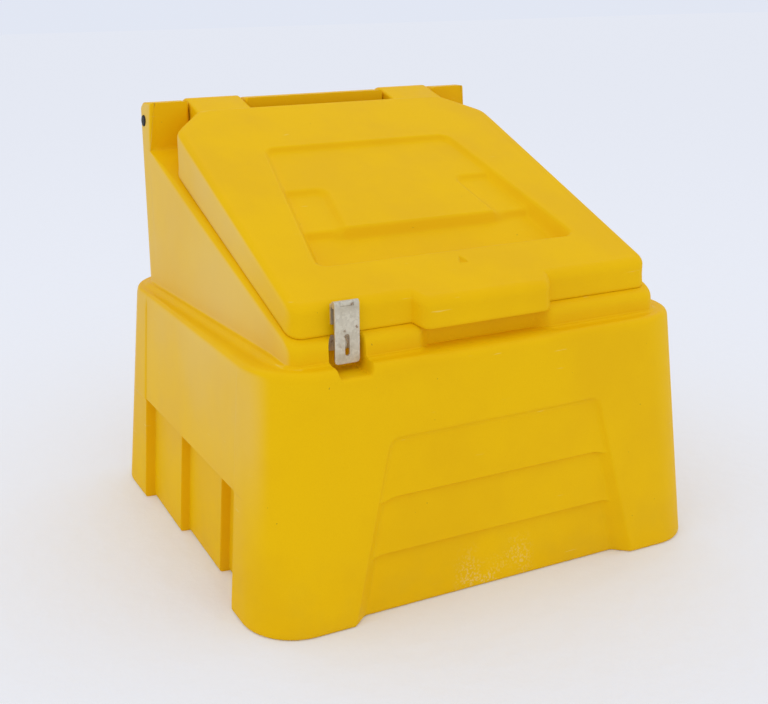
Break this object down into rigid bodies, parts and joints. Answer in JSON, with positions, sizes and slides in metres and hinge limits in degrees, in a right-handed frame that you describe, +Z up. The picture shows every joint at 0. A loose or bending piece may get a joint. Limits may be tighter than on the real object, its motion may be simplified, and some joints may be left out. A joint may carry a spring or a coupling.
{
  "type": "grit bin",
  "caption": "Moulded roadside grit bin: flared tub with stepped recesses, sloping hinged lid with a pull tongue, hinge rod, and a steel hasp and staple for a padlock.",
  "frame": {"origin": "on the ground, under the middle of the base", "axes": "+Z up, +Y towards the hinge side (the back), +X towards the right as seen from the front"},
  "size_m": [0.78, 0.722, 0.703],
  "materials": {
    "yellow_plastic": "satin",
    "zinc_plated_steel": "dull",
    "black_plastic": "satin"
  },
  "bodies": {
    "tub_body": {"tub": "yellow_plastic", "hinge_rod": "zinc_plated_steel", "hinge_rod_cap_left": "black_plastic", "hinge_rod_cap_right": "black_plastic", "staple_plate": "zinc_plated_steel", "staple_loop": "zinc_plated_steel", "staple_bolts": "zinc_plated_steel", "staple_washers": "zinc_plated_steel", "staple_nuts": "zinc_plated_steel"},
    "lid_body": {"lid": "yellow_plastic", "hasp_mounting_plate": "zinc_plated_steel", "hasp_pin": "zinc_plated_steel", "hasp_rivets": "zinc_plated_steel"},
    "hasp_body": {"hasp_leaf": "zinc_plated_steel"}
  },
  "joints": [
    {"name": "lid_hinge", "type": "hinge", "parent": "tub_body", "child": "lid_body", "pos_m": [0, 0.292, 0.668], "axis": [-1, 0, 0], "range_deg": [0, 110]},
    {"name": "hasp_hinge", "type": "hinge", "parent": "lid_body", "child": "hasp_body", "pos_m": [-0.229, -0.303, 0.4605], "axis": [-1, 0, 0], "range_deg": [-13, 190]}
  ]
}
